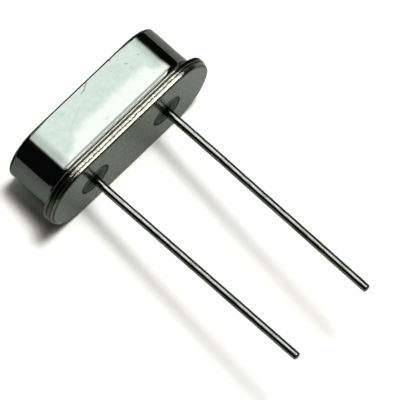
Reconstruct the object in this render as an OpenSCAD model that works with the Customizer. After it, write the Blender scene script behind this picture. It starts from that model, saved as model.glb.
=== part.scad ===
// Two-lead quartz crystal in a low, resistance-welded metal can.
//
// Every piece is drawn in the can's own frame: the long axis is X, the board face is z = 0,
// the cover stands up along +Z and the leads hang down along -Z. lie() then turns the whole
// crystal over onto one broad side, because it can't stand on its leads: it rests on the
// edge of its rim and on the rounded top edge of its cover, and the leads point a little up.
// Lengths are in millimetres.

/* [Rim] */
// Length of the welded rim
rim_l = 10.8; // [10:0.1:11.6]
// Width of the welded rim
rim_w = 4.65; // [4.4:0.05:5]
// Width of the flat ring where the cover's flange is welded down
weld_land_w = 0.11; // [0.05:0.005:0.15]

/* [Cover] */
// Height of the closed can above the board
can_h = 3.36; // [3.2:0.02:4.2]
// Thickness of the cover's sheet
sheet_t = 0.17; // [0.12:0.01:0.22]
// Inside radius of the bend round the cover's top
top_bend_r = 0.04; // [0.02:0.01:0.3]
// Radius of the fillet between the cover's wall and its flange
root_r = 0.27; // [0.15:0.01:0.35]

/* [Header] */
// Thickness of the header's rim
header_t = 0.41; // [0.32:0.01:0.5]
// Radius of the header's lower edge
header_lower_r = 0.12; // [0.05:0.01:0.15]
// Radius of the header's upper edge, which leaves a groove under the cover's rim
header_upper_r = 0.09; // [0.02:0.01:0.12]
// Height of the platform inside the cover
platform_h = 0.54; // [0.4:0.02:0.6]
// Gap between the platform and the cover's wall
platform_gap = 0.15; // [0.1:0.01:0.25]
// Radius of the platform's upper edge
platform_edge_r = 0.13; // [0.05:0.01:0.2]

/* [Glass seals] */
// Diameter of each glass seal
seal_d = 1.78; // [1.5:0.02:1.9]
// Depth of the hollow that the glass sets to round the lead
seal_dip = 0.05; // [0.02:0.01:0.08]

/* [Leads] */
// Distance between the two leads
lead_pitch = 4.88; // [4.5:0.01:5.1]
// Diameter of a tinned lead
lead_d = 0.43; // [0.38:0.01:0.5]
// Length of a lead below the board face
lead_l = 13.1; // [3:0.1:20]
// Thickness of the tin coat on the free length
tin_t = 0.005; // [0.003:0.001:0.01]
// Length of the bevel round a lead's tip
tip_bevel = 0.06; // [0.02:0.01:0.12]
// Diameter of the flattened head inside the can
head_d = 0.9; // [0.8:0.02:1]
// Thickness of the flattened head
head_t = 0.15; // [0.1:0.01:0.2]
// Clear height between the platform and the underside of the head
head_gap = 0.1; // [0.06:0.01:0.15]

/* [Spring clips] */
// Thickness of the clip's strip
clip_t = 0.1; // [0.06:0.01:0.12]
// Width of the clip's strip
clip_w = 1.3; // [1:0.05:1.6]
// Inside radius of the clip's bends
clip_bend_r = 0.08; // [0.05:0.01:0.1]
// Length of the blank that each clip carries
clip_grip = 0.45; // [0.4:0.01:0.6]
// How far each clip's shelf runs past the blank's end
clip_past = 0.12; // [0.05:0.01:0.15]

/* [Quartz blank] */
// Thickness of the blank, which sets its frequency
blank_t = 0.2; // [0.1:0.01:0.3]
// Gap between the blank's end and the cover's end wall
blank_end_gap = 0.78; // [0.7:0.02:1]
// Gap between the blank's side and the cover's side wall
blank_side_gap = 0.7; // [0.6:0.05:0.9]

/* [Electrodes] */
// Thickness of the silver film, drawn far thicker than the real one
film_t = 0.02; // [0.01:0.005:0.03]
// Length of an electrode without its tab
electrode_l = 4.2; // [3:0.1:5]
// Bare margin between an electrode and the blank's sides
electrode_margin = 0.28; // [0.1:0.02:0.4]
// Width of an electrode's tab
tab_w = 0.6; // [0.3:0.05:0.7]

/* [Adhesive] */
// How far the middle of each dab of conductive adhesive lies inside the blank's end
dab_inset = 0.06; // [0:0.01:0.1]

/* [Hidden] */

$fn = 64;
LEFT = -1;
RIGHT = 1;

// Plan of the can. Every outline is an obround round one middle line, so a radius measured
// from that line places a wall on the straight sides and on the round ends alike.
middle_line_l = rim_l - rim_w;
rim_r = rim_w / 2;
rim_edge_r = sheet_t / 2;
wall_r = rim_r - rim_edge_r - weld_land_w - root_r;
cavity_r = wall_r - sheet_t;
platform_r = cavity_r - platform_gap;

// Heights of the can
platform_top = header_t + platform_h;
ceiling_z = can_h - sheet_t;
top_edge_r = top_bend_r + sheet_t;
root_arc_z = header_t + sheet_t + root_r;

// Leads and their heads
lead_x = lead_pitch / 2;
lead_r = lead_d / 2;
lead_core_r = lead_r - tin_t;
head_r = head_d / 2;
head_z = platform_top + head_gap;
clip_z = head_z + head_t;

// Blank, films and what carries them
blank_l = middle_line_l + 2 * (cavity_r - blank_end_gap);
blank_w = 2 * (cavity_r - blank_side_gap);
blank_z = (platform_top + ceiling_z - blank_t) / 2;
shelf_top = blank_z - film_t;
shelf_x = blank_l / 2 - clip_grip;
electrode_w = blank_w - 2 * electrode_margin;
dab_r = clip_grip - dab_inset;

// How the crystal lies. In the section across its width it touches the floor with two arcs:
// the rim's rounded edge and the cover's rounded top edge. lie_tilt is the angle at which
// one straight line touches both.
rim_arc_y = rim_r - rim_edge_r;
rim_arc_z = header_t + rim_edge_r;
top_arc_y = wall_r - top_edge_r;
top_arc_z = can_h - top_edge_r;
arcs_dy = rim_arc_y - top_arc_y;
arcs_dz = top_arc_z - rim_arc_z;
lie_tilt = acos((top_edge_r - rim_edge_r) / norm([arcs_dy, arcs_dz])) - atan2(arcs_dz, arcs_dy);
board_face_z = rim_arc_y * cos(lie_tilt) + rim_arc_z * sin(lie_tilt) + rim_edge_r;
top_reach = top_arc_y * sin(lie_tilt) + top_arc_z * cos(lie_tilt) + top_edge_r;
tip_face_r = lead_r - tip_bevel;
tip_reach = lead_l * cos(lie_tilt) + tip_face_r * sin(lie_tilt);
board_face_y = (tip_reach - top_reach) / 2;

// Lays a piece from the can's own frame down on the floor. The origin is then on the floor,
// under the middle of the whole crystal.
module lie() {
    translate([0, board_face_y, board_face_z])
        rotate([-90 - lie_tilt, 0, 0])
            children();
}

// Sweeps a section, drawn as radius against height, round the obround middle line.
module obround_sweep() {
    for (end = [LEFT, RIGHT])
        translate([end * middle_line_l / 2, 0, 0])
            rotate([0, 0, -90 * end])
                rotate_extrude(angle = 180)
                    children();
    translate([-middle_line_l / 2, 0, 0])
        rotate([90, 0, 90])
            linear_extrude(middle_line_l) {
                children();
                mirror([1, 0])
                    children();
            }
}

// Quarter of a sheet bend in the plane: its inside radius, the sheet's thickness, and the
// signs of the quadrant, seen from the bend's centre, that it fills.
module quarter_bend(inside_r, thickness, x_sign, y_sign) {
    outside_r = inside_r + thickness;
    intersection() {
        difference() {
            circle(outside_r);
            circle(inside_r);
        }
        scale([x_sign, y_sign])
            square(outside_r);
    }
}

// Section of the cover: flange with a round edge, root fillet, wall, rounded top edge, top.
module cover_section() {
    root_x = wall_r + root_r;
    translate([root_x, header_t])
        square([rim_arc_y - root_x, sheet_t]);
    translate([rim_arc_y, rim_arc_z])
        circle(rim_edge_r);
    translate([root_x, root_arc_z])
        quarter_bend(root_r, sheet_t, -1, -1);
    translate([cavity_r, root_arc_z])
        square([sheet_t, top_arc_z - root_arc_z]);
    translate([top_arc_y, top_arc_z])
        quarter_bend(top_bend_r, sheet_t, 1, 1);
    translate([0, ceiling_z])
        square([top_arc_y, sheet_t]);
}

// Section of the header: rim with two rounded edges, and the platform that stands on it.
module header_section() {
    side_h = header_t - header_lower_r - header_upper_r;
    square([rim_r - header_lower_r, header_t]);
    translate([0, header_lower_r])
        square([rim_r, side_h]);
    translate([rim_r - header_lower_r, header_lower_r])
        circle(header_lower_r);
    translate([0, header_t - header_upper_r - side_h])
        square([rim_r - header_upper_r, side_h + header_upper_r]);
    translate([rim_r - header_upper_r, header_t - header_upper_r])
        circle(header_upper_r);
    square([platform_r, platform_top - platform_edge_r]);
    square([platform_r - platform_edge_r, platform_top]);
    translate([platform_r - platform_edge_r, platform_top - platform_edge_r])
        circle(platform_edge_r);
}

// Section of a glass seal, hollowed between the lead and the hole's edge on both faces.
module seal_section() {
    ring_w = seal_d / 2 - lead_core_r;
    dip_r = (pow(ring_w / 2, 2) + pow(seal_dip, 2)) / (2 * seal_dip);
    difference() {
        translate([lead_core_r, 0])
            square([ring_w, platform_top]);
        for (face = [0, 1])
            translate([lead_core_r + ring_w / 2, 0])
                translate([0, face == 0 ? seal_dip - dip_r : platform_top - seal_dip + dip_r])
                    circle(dip_r);
    }
}

// Section of the right-hand clip along the can: foot on the lead's head, bend, riser, bend,
// and the shelf that carries the blank's end.
module clip_section() {
    riser_x = shelf_x - clip_bend_r - clip_t;
    foot_x = lead_x - head_r;
    lower_bend_z = clip_z + clip_t + clip_bend_r;
    upper_bend_z = shelf_top - clip_t - clip_bend_r;
    translate([foot_x, clip_z])
        square([riser_x - clip_bend_r - foot_x, clip_t]);
    translate([riser_x - clip_bend_r, lower_bend_z])
        quarter_bend(clip_bend_r, clip_t, 1, -1);
    translate([riser_x, lower_bend_z])
        square([clip_t, upper_bend_z - lower_bend_z]);
    translate([shelf_x, upper_bend_z])
        quarter_bend(clip_bend_r, clip_t, -1, 1);
    translate([shelf_x, shelf_top - clip_t])
        square([clip_grip + clip_past, clip_t]);
}

// Clip in the can's frame, on the given side
module clip_shape(side) {
    mirror([side == LEFT ? 1 : 0, 0, 0])
        translate([0, clip_w / 2, 0])
            rotate([90, 0, 0])
                linear_extrude(clip_w)
                    clip_section();
}

// Blank in the can's frame
module blank_shape() {
    translate([-blank_l / 2, -blank_w / 2, blank_z])
        cube([blank_l, blank_w, blank_t]);
}

// Silver film in the can's frame: a rectangle in the middle and a tab out to one end
module film_shape(side, film_z) {
    translate([-electrode_l / 2, -electrode_w / 2, film_z])
        cube([electrode_l, electrode_w, film_t]);
    translate([side == LEFT ? -blank_l / 2 : 0, -tab_w / 2, film_z])
        cube([blank_l / 2, tab_w, film_t]);
}

module upper_film_shape() {
    film_shape(LEFT, blank_z + blank_t);
}

module lower_film_shape() {
    film_shape(RIGHT, blank_z - film_t);
}

module can_cover() {
    color("#C8CFCA")
        lie()
            obround_sweep()
                cover_section();
}

module header_base() {
    color("#8F958C")
        lie()
            difference() {
                obround_sweep()
                    header_section();
                for (side = [LEFT, RIGHT])
                    translate([side * lead_x, 0, -header_t])
                        cylinder(h = platform_top + 2 * header_t, d = seal_d);
            }
}

module glass_seal(side) {
    color("#3A3D3B")
        lie()
            translate([side * lead_x, 0, 0])
                rotate_extrude()
                    seal_section();
}

module lead(side) {
    color("#B9BDB6")
        lie()
            translate([side * lead_x, 0, 0]) {
                translate([0, 0, -lead_l])
                    cylinder(h = tip_bevel, r1 = tip_face_r, r2 = lead_r);
                translate([0, 0, tip_bevel - lead_l])
                    cylinder(h = lead_l - tip_bevel, r = lead_r);
                cylinder(h = head_z, r = lead_core_r);
                translate([0, 0, head_z])
                    cylinder(h = head_t, r = head_r);
            }
}

module spring_clip(side) {
    color("#C9BE9A")
        lie()
            clip_shape(side);
}

module quartz_blank() {
    color("#E4EEF0")
        lie()
            blank_shape();
}

module upper_electrode() {
    color("#E8E8E4")
        lie()
            upper_film_shape();
}

module lower_electrode() {
    color("#E8E8E4")
        lie()
            lower_film_shape();
}

// A dab of adhesive wraps the blank's end and reaches down to the underside of the shelf.
module adhesive(side) {
    dab_x = side * (blank_l / 2 - dab_inset);
    dab_z = blank_z + blank_t / 2;
    dab_bottom = shelf_top - clip_t;
    color("#9A9A96")
        lie()
            difference() {
                translate([dab_x, 0, dab_z])
                    sphere(dab_r);
                translate([dab_x - dab_r, -dab_r, dab_bottom - 2 * dab_r])
                    cube(2 * dab_r);
                blank_shape();
                clip_shape(side);
                upper_film_shape();
                lower_film_shape();
            }
}

can_cover();
header_base();
glass_seal(LEFT);  // glass_seal_left
glass_seal(RIGHT);  // glass_seal_right
lead(LEFT);  // lead_left
lead(RIGHT);  // lead_right
spring_clip(LEFT);  // spring_clip_left
spring_clip(RIGHT);  // spring_clip_right
quartz_blank();
upper_electrode();
lower_electrode();
adhesive(LEFT);  // adhesive_left
adhesive(RIGHT);  // adhesive_right
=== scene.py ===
"""Looks for a two-lead quartz crystal in a low, resistance-welded metal can.

The crystal lies on one broad side. Every section is worked out in the can's own frame, in
millimetres: X runs along the can, z = 0 is the board face, the cover stands up along +Z and
the leads hang down along -Z. LyingDown then turns the points over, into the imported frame.
"""

import logging
import math
from dataclasses import dataclass, field
from enum import Enum
from typing import Any

import bpy
import numpy as np
from mathutils import Matrix, Vector
from mathutils.geometry import tessellate_polygon


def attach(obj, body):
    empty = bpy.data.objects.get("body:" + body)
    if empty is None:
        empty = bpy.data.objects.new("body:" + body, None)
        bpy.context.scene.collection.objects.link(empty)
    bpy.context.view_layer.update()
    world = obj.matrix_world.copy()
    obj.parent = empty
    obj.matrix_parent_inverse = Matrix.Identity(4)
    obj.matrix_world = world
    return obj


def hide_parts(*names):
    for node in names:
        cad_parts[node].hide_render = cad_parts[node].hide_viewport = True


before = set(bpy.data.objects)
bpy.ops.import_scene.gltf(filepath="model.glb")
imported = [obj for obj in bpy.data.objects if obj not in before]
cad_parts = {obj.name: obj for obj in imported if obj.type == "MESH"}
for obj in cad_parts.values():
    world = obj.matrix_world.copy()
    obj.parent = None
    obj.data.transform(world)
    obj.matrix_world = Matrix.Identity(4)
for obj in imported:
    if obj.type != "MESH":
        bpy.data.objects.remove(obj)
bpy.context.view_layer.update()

LOG = logging.getLogger("crystal")
MM = 0.001
TAU = 2.0 * math.pi
TINY = 1e-9
NO_AREA = 1e-12  # in square millimetres
OFF_RIM = 9.0  # a height in millimetres that no part of the rim has

Span = tuple[float, float]
Triple = tuple[float, float, float]
Four = tuple[float, float, float, float]
Socket = bpy.types.NodeSocket


class Side(Enum):
    """The two ends of the can."""

    LEFT = -1
    RIGHT = 1


# ---------------------------------------------------------------- sizes and placing


@dataclass(frozen=True)
class CanSizes:
    """Sizes of the whole can, in millimetres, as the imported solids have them."""

    rim_l: float = 10.8
    rim_w: float = 4.65
    weld_land_w: float = 0.11
    can_h: float = 3.36
    sheet_t: float = 0.17
    top_bend_r: float = 0.04
    root_r: float = 0.27
    header_t: float = 0.41
    header_lower_r: float = 0.12
    header_upper_r: float = 0.09
    platform_h: float = 0.54
    platform_gap: float = 0.15
    platform_edge_r: float = 0.13
    seal_d: float = 1.78
    seal_dip: float = 0.05
    lead_pitch: float = 4.88
    lead_d: float = 0.43
    lead_l: float = 13.1
    tin_t: float = 0.005
    tip_bevel: float = 0.06
    head_d: float = 0.9
    head_t: float = 0.15
    head_gap: float = 0.1

    @property
    def middle_half(self) -> float:
        """Half the length of the middle line that every outline is an even distance from."""
        return (self.rim_l - self.rim_w) / 2

    @property
    def rim_r(self) -> float:
        """Radius of the rim."""
        return self.rim_w / 2

    @property
    def rim_edge_r(self) -> float:
        """Radius of the flange's round edge."""
        return self.sheet_t / 2

    @property
    def wall_r(self) -> float:
        """Radius of the cover's wall."""
        return self.rim_r - self.rim_edge_r - self.weld_land_w - self.root_r

    @property
    def cavity_r(self) -> float:
        """Radius of the room inside the cover."""
        return self.wall_r - self.sheet_t

    @property
    def top_edge_r(self) -> float:
        """Outside radius of the bend round the cover's top."""
        return self.top_bend_r + self.sheet_t

    @property
    def root_arc_z(self) -> float:
        """Height of the centre of the fillet at the wall's root."""
        return self.header_t + self.sheet_t + self.root_r

    @property
    def platform_top(self) -> float:
        """Height of the platform inside the cover."""
        return self.header_t + self.platform_h


@dataclass(frozen=True)
class LyingDown:
    """Turns points from the can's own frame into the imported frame, in metres."""

    sizes: CanSizes

    def numbers(self) -> Triple:
        """Works out how the can lies: one line touches the rim's edge arc and the top's arc.

        Returns:
            The tilt in radians and the board face's y and z in millimetres.
        """
        s = self.sizes
        rim_y, rim_z = s.rim_r - s.rim_edge_r, s.header_t + s.rim_edge_r
        top_y, top_z = s.wall_r - s.top_edge_r, s.can_h - s.top_edge_r
        gap_y, gap_z = rim_y - top_y, top_z - rim_z
        lean = math.acos((s.top_edge_r - s.rim_edge_r) / math.hypot(gap_y, gap_z))
        tilt = lean - math.atan2(gap_z, gap_y)
        face_z = rim_y * math.cos(tilt) + rim_z * math.sin(tilt) + s.rim_edge_r
        top_reach = top_y * math.sin(tilt) + top_z * math.cos(tilt) + s.top_edge_r
        tip_r = s.lead_d / 2 - s.tip_bevel
        tip_reach = s.lead_l * math.cos(tilt) + tip_r * math.sin(tilt)
        return tilt, (tip_reach - top_reach) / 2, face_z

    def place(self, points: np.ndarray) -> np.ndarray:
        """Lays points down.

        The turn is about X by minus a right angle minus the tilt, then the board face is
        moved to its place, and millimetres become metres.

        Args:
            points: Points in the can's frame, in millimetres, with x, y, z last.

        Returns:
            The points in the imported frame, in metres.
        """
        tilt, face_y, face_z = self.numbers()
        sin, cos = math.sin(tilt), math.cos(tilt)
        x, y, z = points[..., 0], points[..., 1], points[..., 2]
        laid = np.stack([x, face_y - y * sin + z * cos, face_z - y * cos - z * sin], -1)
        return laid * MM

    def back(self) -> tuple[Triple, Triple]:
        """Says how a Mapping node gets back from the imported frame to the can's millimetres.

        Returns:
            The location in millimetres and the turn in radians, for a scale of 1000.
        """
        tilt, face_y, face_z = self.numbers()
        sin, cos = math.sin(tilt), math.cos(tilt)
        location = (0.0, face_y * sin + face_z * cos, -face_y * cos + face_z * sin)
        return location, (math.pi / 2 + tilt, 0.0, 0.0)


LYING = LyingDown(CanSizes())


# ---------------------------------------------------------------- meshes


@dataclass
class Section:
    """A profile of radius against height, made of straight runs and arcs that share ends.

    Attributes:
        points: The profile's points, each a radius and a height, from its first one on.
        creases: Indices of the points where one run ends and the next begins.
    """

    points: list[Span]
    creases: list[int] = field(default_factory=lambda: [0])

    def line(self, radius: float, height: float, parts: int = 1) -> "Section":
        """Adds a straight run.

        Args:
            radius: Radius of its end.
            height: Height of its end.
            parts: How many equal parts it is cut into.

        Returns:
            The section, so that calls can follow each other.
        """
        r0, z0 = self.points[-1]
        for t in np.linspace(0, 1, parts + 1)[1:]:
            self.points.append((r0 + (radius - r0) * t, z0 + (height - z0) * t))
        self.creases.append(len(self.points) - 1)
        return self

    def arc(self, centre: Span, radius: float, first: float, last: float, parts: int) -> "Section":
        """Adds an arc.

        Args:
            centre: The arc's centre, as a radius and a height.
            radius: The arc's own radius.
            first: Angle of its start in degrees, from outwards towards up.
            last: Angle of its end in degrees.
            parts: How many equal parts it is cut into.

        Returns:
            The section, so that calls can follow each other.
        """
        for a in np.radians(np.linspace(first, last, parts + 1)[1:]):
            self.points.append((centre[0] + radius * math.cos(a), centre[1] + radius * math.sin(a)))
        self.creases.append(len(self.points) - 1)
        return self

    def runs(self) -> list[tuple[int, int]]:
        """Gives the first and the last point of each run."""
        return list(zip(self.creases[:-1], self.creases[1:]))

    def arrays(self) -> tuple[np.ndarray, np.ndarray, np.ndarray]:
        """Gives the radii, the heights and the length run so far."""
        rz = np.array(self.points)
        return rz[:, 0], rz[:, 1], np.append(0.0, np.cumsum(np.hypot(*np.diff(rz, axis=0).T)))


@dataclass(frozen=True)
class Track:
    """The path a section is carried along: an obround, or a circle where half is 0.

    Attributes:
        half: Half the length of the middle line.
        centre_x: Where the middle line's centre is, along X.
        straight_parts: How many parts each straight side is cut into.
        round_parts: How many parts each round end is cut into.
        gauge_r: The radius at which the length along the track is measured.
    """

    half: float
    centre_x: float
    straight_parts: int
    round_parts: int
    gauge_r: float

    def arrays(self) -> tuple[np.ndarray, np.ndarray, np.ndarray, float]:
        """Samples the track, along the -Y side first and then round by +X.

        Returns:
            The middle line's x, the outward angle from -Y towards +X, the length so far,
            and the whole length.
        """
        if self.half == 0:
            angle = np.linspace(0, TAU, 2 * self.round_parts, endpoint=False)
            return np.full_like(angle, self.centre_x), angle, angle * self.gauge_r, TAU * self.gauge_r
        end = np.linspace(0, math.pi, self.round_parts + 1)[:-1]
        side = np.linspace(-self.half, self.half, self.straight_parts + 1)[:-1]
        full, flat = np.full(self.round_parts, self.half), np.zeros(self.straight_parts)
        x = np.concatenate([side, full, -side, -full]) + self.centre_x
        angle = np.concatenate([flat, end, flat + math.pi, end + math.pi])
        steps = [2 * self.half / self.straight_parts, math.pi * self.gauge_r / self.round_parts]
        run = np.cumsum(np.repeat(steps * 2, [self.straight_parts, self.round_parts] * 2))
        return x, angle, np.append(0.0, run[:-1]), float(run[-1])


def lead_circle(sizes: CanSizes, side: Side, radius: float, parts: int) -> Track:
    """The circle of a given radius round one lead's axis."""
    return Track(0.0, side.value * sizes.lead_pitch / 2, 1, parts, radius)


def run_normals(rz: np.ndarray) -> np.ndarray:
    """Gives the normals of one run of a section.

    The tangent is the change from point to point, and the normal is the tangent turned a
    quarter to the left, which points out of the metal when the section goes down outside.

    Args:
        rz: Radius and height of each point of the run.

    Returns:
        Unit normals, as a radius part and a height part.
    """
    tangent = np.gradient(rz, axis=0, edge_order=2 if len(rz) > 2 else 1)
    tangent /= np.linalg.norm(tangent, axis=1, keepdims=True)
    return np.stack([-tangent[:, 1], tangent[:, 0]], -1)


@dataclass
class Wrap:
    """A section and the track it is carried along, sampled so that they broadcast to a grid.

    The section's radius, height and length run (across) are columns, and the track's middle
    x, outward angle and length so far (along) are rows. Turn is how much a place faces the
    can's ends, from 0 to 1. A sweep gives the points, in the can's millimetres, and the
    normals of each smooth patch between creases.
    """

    section: Section
    track: Track

    def __post_init__(self) -> None:
        """Samples the section and the track."""
        self.radius, self.height, self.across = (v[:, None] for v in self.section.arrays())
        *columns, self.whole = self.track.arrays()
        self.middle, self.angle, self.along = (v[None] for v in columns)
        self.turn = np.abs(np.sin(self.angle))

    def noise(self, wave: Span, seed: int, even: bool = False) -> np.ndarray:
        """A soft random relief between about -1 and 1 that meets itself round the track.

        It is a sum of 24 cosines. Each has a whole number of waves round the track, a wave
        length across it and a phase, drawn around the wave lengths asked for.

        Args:
            wave: Usual wave length along and across, in millimetres.
            seed: Seed of the draw.
            even: True if it is the same at every row.

        Returns:
            The relief, rows by columns, with one row where it is even.
        """
        rng, count = np.random.default_rng(seed), 24
        turns = np.round(self.whole / wave[0] * rng.uniform(0.4, 1.6, count))
        lines = rng.uniform(-1.6, 1.6, count) / wave[1]
        phase = rng.uniform(0, TAU, count)
        across = np.zeros((1, 1)) if even else self.across
        total = np.zeros((len(across), self.along.size))
        for turn, line, start in zip(turns, lines, phase):
            total += np.cos(TAU * (turn * self.along / self.whole + line * across) + start)
        return total / math.sqrt(count)

    def sweep(self, relief: Any = 0.0, inset: Any = 0.0) -> "Wrap":
        """Carries the section along the track, draws it in and raises a relief on it.

        A point is the middle line's point plus the section's radius, less the inset, times
        the outward direction, which is (sin a, -cos a) for the outward angle a, at the
        section's height. The relief moves it along the section's normal. The surface's
        normal is the cross product of its change along the track and down the section.

        Args:
            relief: Heights in millimetres, rows by columns, or 0 for a plain surface.
            inset: How much smaller the radius is in millimetres, rows by columns, or 0.

        Returns:
            The same object, with its points and normals.
        """
        angle, along, up = self.angle, self.along[0], np.array([0.0, 0.0, 1.0])
        out = np.stack([np.sin(angle), -np.cos(angle), np.zeros_like(angle)], -1)
        rz = np.hstack([self.radius, self.height])
        tilted = np.zeros_like(rz)
        for first, last in self.section.runs():
            tilted[first : last + 1] += run_normals(rz[first : last + 1])
        tilted /= np.linalg.norm(tilted, axis=1, keepdims=True)
        moved = tilted[:, None, :1] * out + tilted[:, None, 1:] * up
        points = (self.radius - inset)[..., None] * out + self.height[..., None] * up
        points = points + np.asarray(relief)[..., None] * moved
        points[..., 0] += self.middle
        wrapped = np.concatenate([points[:, -1:], points, points[:, :1]], 1)
        lengths = np.concatenate([[along[-1] - self.whole], along, [self.whole]])
        forward = np.gradient(wrapped, lengths, axis=1)[:, 1:-1]
        self.points, self.normals = points, []
        for first, last in self.section.runs():
            patch = points[first : last + 1]
            down = np.gradient(patch, axis=0, edge_order=2 if len(patch) > 2 else 1)
            normal = np.cross(down, forward[first : last + 1])
            self.normals.append(normal / np.linalg.norm(normal, axis=-1, keepdims=True))
        return self


def bell(x: np.ndarray, middle: np.ndarray | float, width: float) -> np.ndarray:
    """A bell curve of height 1: e to the minus square of the distance over the width."""
    return np.exp(-(((x - middle) / width) ** 2))


def ramp(x: np.ndarray, low: np.ndarray | float, high: np.ndarray | float) -> np.ndarray:
    """A smooth step from 0 at low to 1 at high: 3 t squared minus 2 t cubed."""
    t = np.clip((x - low) / (high - low), 0, 1)
    return t * t * (3 - 2 * t)


def plateau(x: np.ndarray, start: Any, full: Any, fade: Any, end: Any) -> np.ndarray:
    """A smooth step up from start to full, times one down from fade to end."""
    return ramp(x, start, full) * (1 - ramp(x, fade, end))


def put_in_scene(name: str, data: Any) -> bpy.types.Object:
    """Makes an object and links it into the scene.

    Args:
        name: The object's name.
        data: Its mesh or camera.

    Returns:
        The object.
    """
    made = bpy.data.objects.new(name, data)
    bpy.context.scene.collection.objects.link(made)
    return made


@dataclass
class Shell:
    """A closed mesh put together from swept surfaces and flat caps.

    It holds each point and how dull it is, with any painted shade, the faces, and each
    corner's normal and map.
    """

    name: str
    points: list[np.ndarray] = field(default_factory=list)
    faces: list[tuple[int, ...]] = field(default_factory=list)
    normals: list[np.ndarray] = field(default_factory=list)
    maps: list[np.ndarray] = field(default_factory=list)
    dullness_and_shade: list[np.ndarray] = field(default_factory=list)

    def add(self, at: Wrap, closed: bool = False, dullness_and_shade: Any = 0.0) -> np.ndarray:
        """Adds a swept surface's points and faces.

        Args:
            at: The surface.
            closed: True if the last row lies on the first, which it then shares.
            dullness_and_shade: How dull each point is, from 0 to 1, rows by columns, or 0.

        Returns:
            The number of each of its points in the mesh, rows by columns.
        """
        rows, columns = at.points.shape[:2]
        kept = rows - 1 if closed else rows
        number = sum(map(len, self.points)) + np.arange(kept * columns).reshape(kept, columns)
        self.points.append(at.points[:kept].reshape(-1, 3))
        self.dullness_and_shade.append(np.broadcast_to(dullness_and_shade, (rows, columns))[:kept].ravel())
        if closed:
            number = np.concatenate([number, number[:1]])
        along = np.append(at.along, at.whole)
        for (first, last), normal in zip(at.section.runs(), at.normals):
            span = slice(first, last + 1)
            self._add_quads(number[span], normal, along, at.across[span])
        return number

    def _add_quads(
        self, number: np.ndarray, normal: np.ndarray, along: np.ndarray, across: np.ndarray
    ) -> None:
        """Adds the four-sided faces between the rows of one smooth patch.

        Args:
            number: The number of each point, rows by columns.
            normal: The normal at each point.
            along: Length along the track at each column, and at the end.
            across: Length along the section at each row, as a column.
        """
        rows, columns = number.shape
        here = np.arange(columns)
        right = np.roll(here, -1)
        ids, normals, maps = [], [], []
        for down, pick, side in [(0, here, 0), (1, here, 0), (1, right, 1), (0, right, 1)]:
            window = slice(down, down + rows - 1)
            ids.append(number[window][:, pick])
            normals.append(normal[window][:, pick])
            map_uv = np.broadcast_arrays(along[side : side + columns], across[window])
            maps.append(np.stack(map_uv, -1))
        self.faces.extend(map(tuple, np.stack(ids, -1).reshape(-1, 4).tolist()))
        self.normals.append(np.stack(normals, 2).reshape(-1, 3))
        self.maps.append(np.stack(maps, 2).reshape(-1, 2))

    def add_cap(self, rings: list[np.ndarray], up: bool) -> None:
        """Closes a ring with flat triangles.

        Args:
            rings: Numbers of the points round the face, then round each hole in it.
            up: True if the face looks up along +Z.
        """
        every, flat = np.concatenate(self.points), np.concatenate(rings)
        wanted = 1.0 if up else -1.0
        for tri in tessellate_polygon([[Vector(every[i]) for i in ring] for ring in rings]):
            ids = flat[list(tri)]
            a, b, c = every[ids]
            turn = np.cross(b - a, c - a)[2] * wanted
            if abs(turn) < NO_AREA:
                continue
            ids = ids if turn > 0 else ids[::-1]
            self.faces.append(tuple(int(i) for i in ids))
            self.normals.append(np.tile([0.0, 0.0, wanted], (3, 1)))
            self.maps.append(every[ids][:, :2])

    def make(self, material: bpy.types.Material) -> bpy.types.Object:
        """Makes the Blender object, with its own normals and a map in millimetres.

        Args:
            material: What it is dressed in.

        Returns:
            The new object, linked into the scene.
        """
        points = LYING.place(np.concatenate(self.points))
        normals = LYING.place(np.concatenate(self.normals)) - LYING.place(np.zeros(3))
        normals /= np.linalg.norm(normals, axis=1, keepdims=True)
        mesh = bpy.data.meshes.new(self.name)
        mesh.from_pydata(points.tolist(), [], self.faces)
        layer = mesh.uv_layers.new(name="surface_mm")
        layer.uv.foreach_set("vector", np.concatenate(self.maps).astype(np.float32).ravel())
        dull = mesh.attributes.new("dullness_and_shade", "FLOAT", "POINT")
        dull.data.foreach_set("value", np.concatenate(self.dullness_and_shade).astype(np.float32))
        mesh.update()
        mesh.normals_split_custom_set(normals.tolist())
        mesh.materials.append(material)
        return put_in_scene(self.name, mesh)


# ---------------------------------------------------------------- finishes

SMOOTH = {"interpolation_type": "SMOOTHSTEP"}
RISE = (0.0, 1.0)
MOST = (0.3, 0.7)  # most of a pattern's values lie between these


def linear(code: str) -> Four:
    """Turns an sRGB hex code into linear colour.

    Args:
        code: Six hex digits after a hash.

    Returns:
        Red, green, blue and a full alpha.
    """
    parts = [int(code[i : i + 2], 16) / 255 for i in (1, 3, 5)]
    r, g, b = (c / 12.92 if c <= 0.04045 else ((c + 0.055) / 1.055) ** 2.4 for c in parts)
    return r, g, b, 1.0


def add_node(tree: bpy.types.NodeTree, kind: str, inputs: Any, **settings: Any) -> bpy.types.Node:
    """Adds a node with its settings and links.

    Args:
        tree: The node tree.
        kind: The node's type, after the words ShaderNode.
        inputs: Values, or the sockets that feed them: a tuple for the first sockets in
            order, or a dictionary by each socket's name or number.
        settings: The node's own properties.

    Returns:
        The node.
    """
    node = tree.nodes.new("ShaderNode" + kind)
    for name, value in settings.items():
        setattr(node, name, value)
    for socket, value in inputs.items() if isinstance(inputs, dict) else enumerate(inputs):
        if isinstance(value, Socket):
            tree.links.new(value, node.inputs[socket])
        else:
            node.inputs[socket].default_value = value
    return node


class Follow(Enum):
    """What a pattern follows: the can's own X, Y and Z, or the piece's own track."""

    CAN = "can"
    TRACK = "track"


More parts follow.
